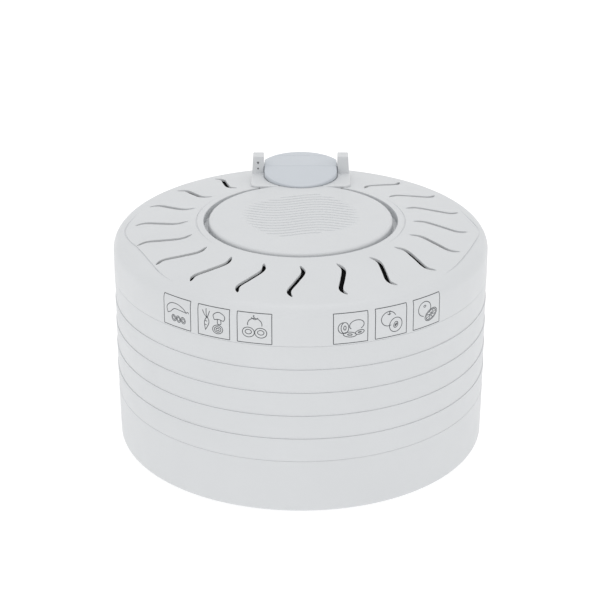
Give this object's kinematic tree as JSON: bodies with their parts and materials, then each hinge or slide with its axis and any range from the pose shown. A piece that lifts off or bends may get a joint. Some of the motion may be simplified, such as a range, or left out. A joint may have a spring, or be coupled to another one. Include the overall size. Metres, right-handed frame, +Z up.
{
  "type": "food dehydrator",
  "caption": "Round stacking food dehydrator: deep base bowl, nesting lift-off trays, and a fan and heater head with curved vents, a raised round cap and a rear rocker switch.",
  "frame": {"origin": "on the machine's vertical axis, at the level of the feet", "axes": "+Z up, -Y to the front; the rocker switch is at the back, towards +Y"},
  "size_m": [0.39, 0.39, 0.2623],
  "materials": {
    "shell": "satin moulded",
    "tray": "satin moulded",
    "rocker": "satin moulded, blue-grey",
    "rubber": "matt",
    "steel": "zinc plated",
    "iron": "bare laminations",
    "heater": "oxidised sheath",
    "copper": "enamelled winding",
    "bronze": "sintered bearing",
    "dark": "moulded",
    "ceramic": "unglazed",
    "wire": "sleeved lead"
  },
  "bodies": {
    "base": {"base_bowl": "shell", "foot_1": "rubber", "foot_2": "rubber", "foot_3": "rubber", "foot_4": "rubber"},
    "tray_1": {"tray_1": "tray"},
    "tray_2": {"tray_2": "tray"},
    "tray_3": {"tray_3": "tray"},
    "tray_4": {"tray_4": "tray"},
    "tray_5": {"tray_5": "tray"},
    "head": {"head_cover": "shell", "motor_cap": "shell", "dust_screen": "dark", "air_plate": "shell", "fan_guard": "shell", "heater_element": "heater", "heater_support_1": "ceramic", "heater_support_2": "ceramic", "heater_support_3": "ceramic", "motor_mount": "steel", "motor_plate_lower": "steel", "motor_plate_upper": "steel", "bearing_lower": "bronze", "bearing_upper": "bronze", "motor_stator": "iron", "motor_coil": "copper", "switch_body": "dark", "thermal_cut_out": "dark", "terminal_block": "dark", "cord_gland": "rubber", "plate_screw_1": "steel", "plate_screw_2": "steel", "plate_screw_3": "steel", "plate_screw_4": "steel", "mount_screw_1": "steel", "mount_screw_2": "steel", "mount_screw_3": "steel", "wire_supply": "wire", "wire_motor": "wire", "wire_switch": "wire", "wire_heater": "wire"},
    "rocker": {"switch_rocker": "rocker", "rocker_pin_left": "steel", "rocker_pin_right": "steel"},
    "rotor": {"fan_impeller": "dark", "motor_shaft": "steel", "motor_rotor": "iron", "fan_nut": "steel"}
  },
  "joints": [
    {"name": "tray_1_lift", "type": "slide", "parent": "base", "child": "tray_1", "axis": [0, 0, 1], "range_m": [0, 0.06]},
    {"name": "tray_2_lift", "type": "slide", "parent": "tray_1", "child": "tray_2", "axis": [0, 0, 1], "range_m": [0, 0.06]},
    {"name": "tray_3_lift", "type": "slide", "parent": "tray_2", "child": "tray_3", "axis": [0, 0, 1], "range_m": [0, 0.06]},
    {"name": "tray_4_lift", "type": "slide", "parent": "tray_3", "child": "tray_4", "axis": [0, 0, 1], "range_m": [0, 0.06]},
    {"name": "tray_5_lift", "type": "slide", "parent": "tray_4", "child": "tray_5", "axis": [0, 0, 1], "range_m": [0, 0.06]},
    {"name": "head_lift", "type": "slide", "parent": "tray_5", "child": "head", "axis": [0, 0, 1], "range_m": [0, 0.08]},
    {"name": "rocker_tilt", "type": "hinge", "parent": "head", "child": "rocker", "pos_m": [0, 0.136, 0.24855], "axis": [-1, 0, 0], "range_deg": [0, 8]},
    {"name": "fan_spin", "type": "hinge", "parent": "head", "child": "rotor", "pos_m": [0, 0, 0.18635], "axis": [0, 0, 1], "continuous": true}
  ]
}
